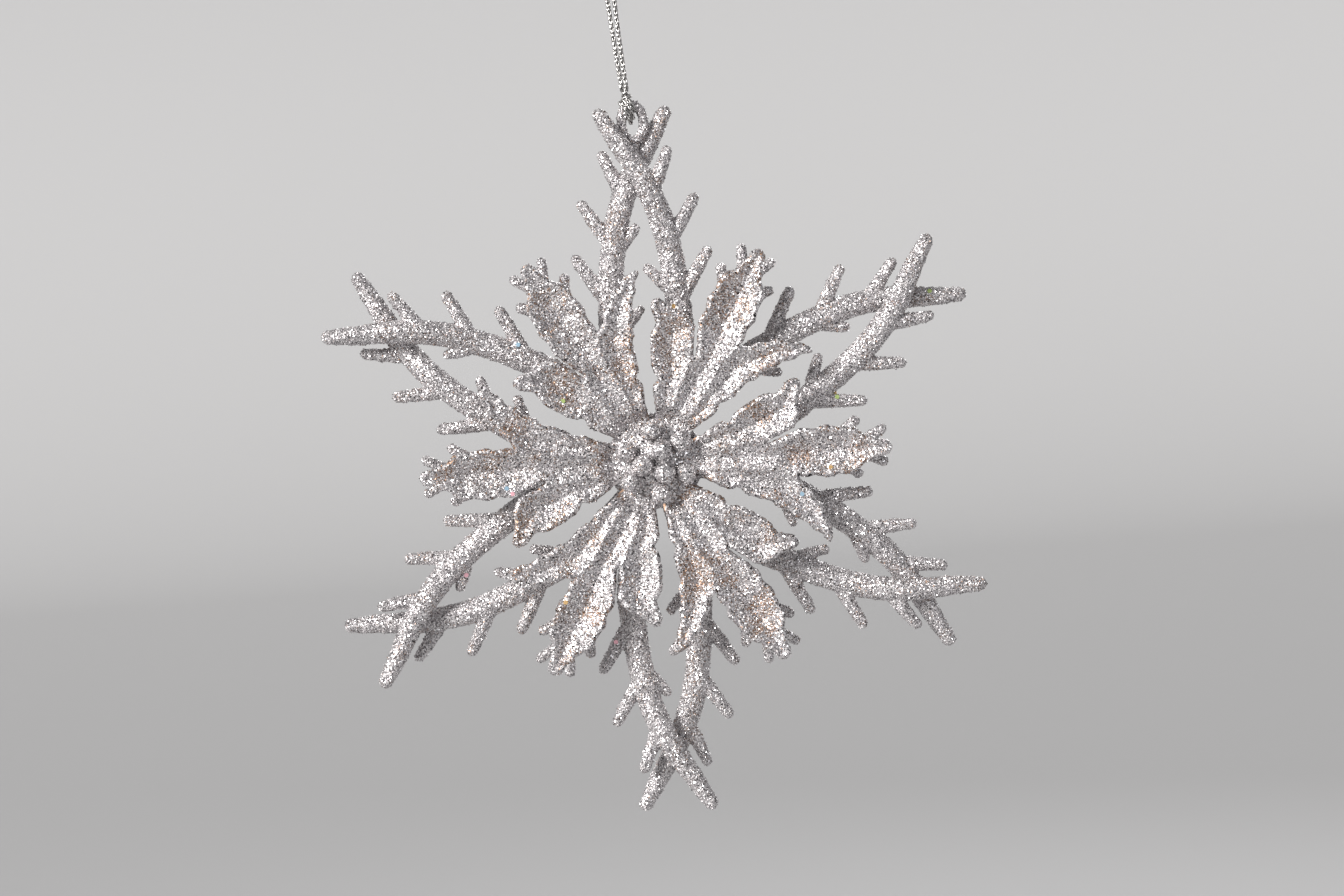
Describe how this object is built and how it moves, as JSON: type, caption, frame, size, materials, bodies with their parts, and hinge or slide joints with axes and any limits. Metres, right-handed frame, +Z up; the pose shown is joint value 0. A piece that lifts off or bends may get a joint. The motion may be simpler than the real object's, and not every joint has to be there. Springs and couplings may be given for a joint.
{
  "type": "hanging snowflake ornament",
  "caption": "Six-armed glittered snowflake ornament with crossed thorny twigs, lobed leaves and a beaded centre, hanging by a ring from a doubled cord loop.",
  "frame": {"origin": "where a hook sits, inside the top of the cord's loop, straight above the star's centre", "axes": "+Z up, with the star's top arm straight up; +X to the right and -Y forward, seen from the front"},
  "size_m": [0.1282, 0.0142, 0.218],
  "materials": {
    "glittered_twigs": "silver glitter coat",
    "glittered_leaves": "silver glitter coat",
    "glittered_hub": "silver glitter coat",
    "glittered_beads": "silver glitter coat",
    "glittered_ring": "silver glitter coat",
    "metallic_cord": "braided metallic silver thread"
  },
  "bodies": {
    "cord": {"cord_strand_left": "metallic_cord", "cord_strand_right": "metallic_cord", "end_knot": "metallic_cord"},
    "knot": {"hitch_knot": "metallic_cord"},
    "wrap": {"hitch_loop": "metallic_cord"},
    "star": {"twig_front_1": "glittered_twigs", "twig_rear_1": "glittered_twigs", "twig_front_2": "glittered_twigs", "twig_rear_2": "glittered_twigs", "twig_front_3": "glittered_twigs", "twig_rear_3": "glittered_twigs", "twig_front_4": "glittered_twigs", "twig_rear_4": "glittered_twigs", "twig_front_5": "glittered_twigs", "twig_rear_5": "glittered_twigs", "twig_front_6": "glittered_twigs", "twig_rear_6": "glittered_twigs", "short_twig_1": "glittered_twigs", "short_twig_2": "glittered_twigs", "short_twig_3": "glittered_twigs", "short_twig_4": "glittered_twigs", "short_twig_5": "glittered_twigs", "short_twig_6": "glittered_twigs", "leaf_1": "glittered_leaves", "leaf_2": "glittered_leaves", "leaf_3": "glittered_leaves", "leaf_4": "glittered_leaves", "leaf_5": "glittered_leaves", "leaf_6": "glittered_leaves", "hub_plate": "glittered_hub", "bead_boss": "glittered_hub", "outer_beads": "glittered_beads", "inner_beads": "glittered_beads", "hanging_ring": "glittered_ring"}
  },
  "joints": [
    {"name": "sway_sideways", "type": "hinge", "parent": "cord", "child": "knot", "pos_m": [-0.00115, 0, -0.06611], "axis": [0, 1, 0], "range_deg": [-45, 45]},
    {"name": "twist", "type": "hinge", "parent": "knot", "child": "wrap", "pos_m": [-0.00115, 0, -0.06611], "axis": [0, 0, 1], "range_deg": [-180, 180]},
    {"name": "tilt", "type": "hinge", "parent": "wrap", "child": "star", "pos_m": [-0.00043, 0, -0.06835], "axis": [0.9511, 0, 0.309], "range_deg": [-60, 60]}
  ]
}
